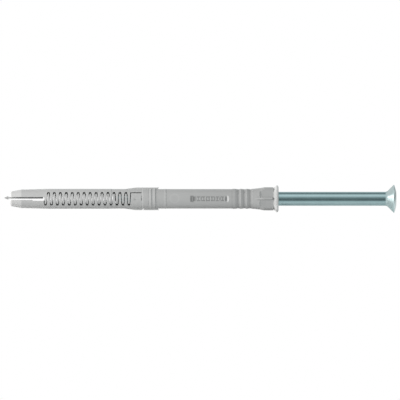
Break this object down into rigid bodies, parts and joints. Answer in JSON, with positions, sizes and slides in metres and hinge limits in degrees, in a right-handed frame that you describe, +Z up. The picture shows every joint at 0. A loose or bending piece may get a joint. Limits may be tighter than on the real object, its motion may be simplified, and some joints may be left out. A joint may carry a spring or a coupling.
{
  "type": "frame fixing anchor with pre-mounted screw",
  "caption": "Long nylon expansion sleeve with serpentine slots, locking fins and a countersunk collar, with a countersunk screw standing part-way out of it.",
  "frame": {"origin": "on the common axis of sleeve and screw, in the rear face of the sleeve's collar", "axes": "+X along the axis towards the screw head, -X towards the tip; +Z up with the part lying down, the slotted front facing -Y"},
  "size_m": [0.1976, 0.014, 0.014],
  "materials": {
    "nylon": "moulded grey nylon, satin",
    "zinc_plated_steel": "bright zinc plating with a faint blue-green tint"
  },
  "bodies": {
    "root": {"sleeve": "nylon", "screw": "zinc_plated_steel"}
  },
  "joints": []
}
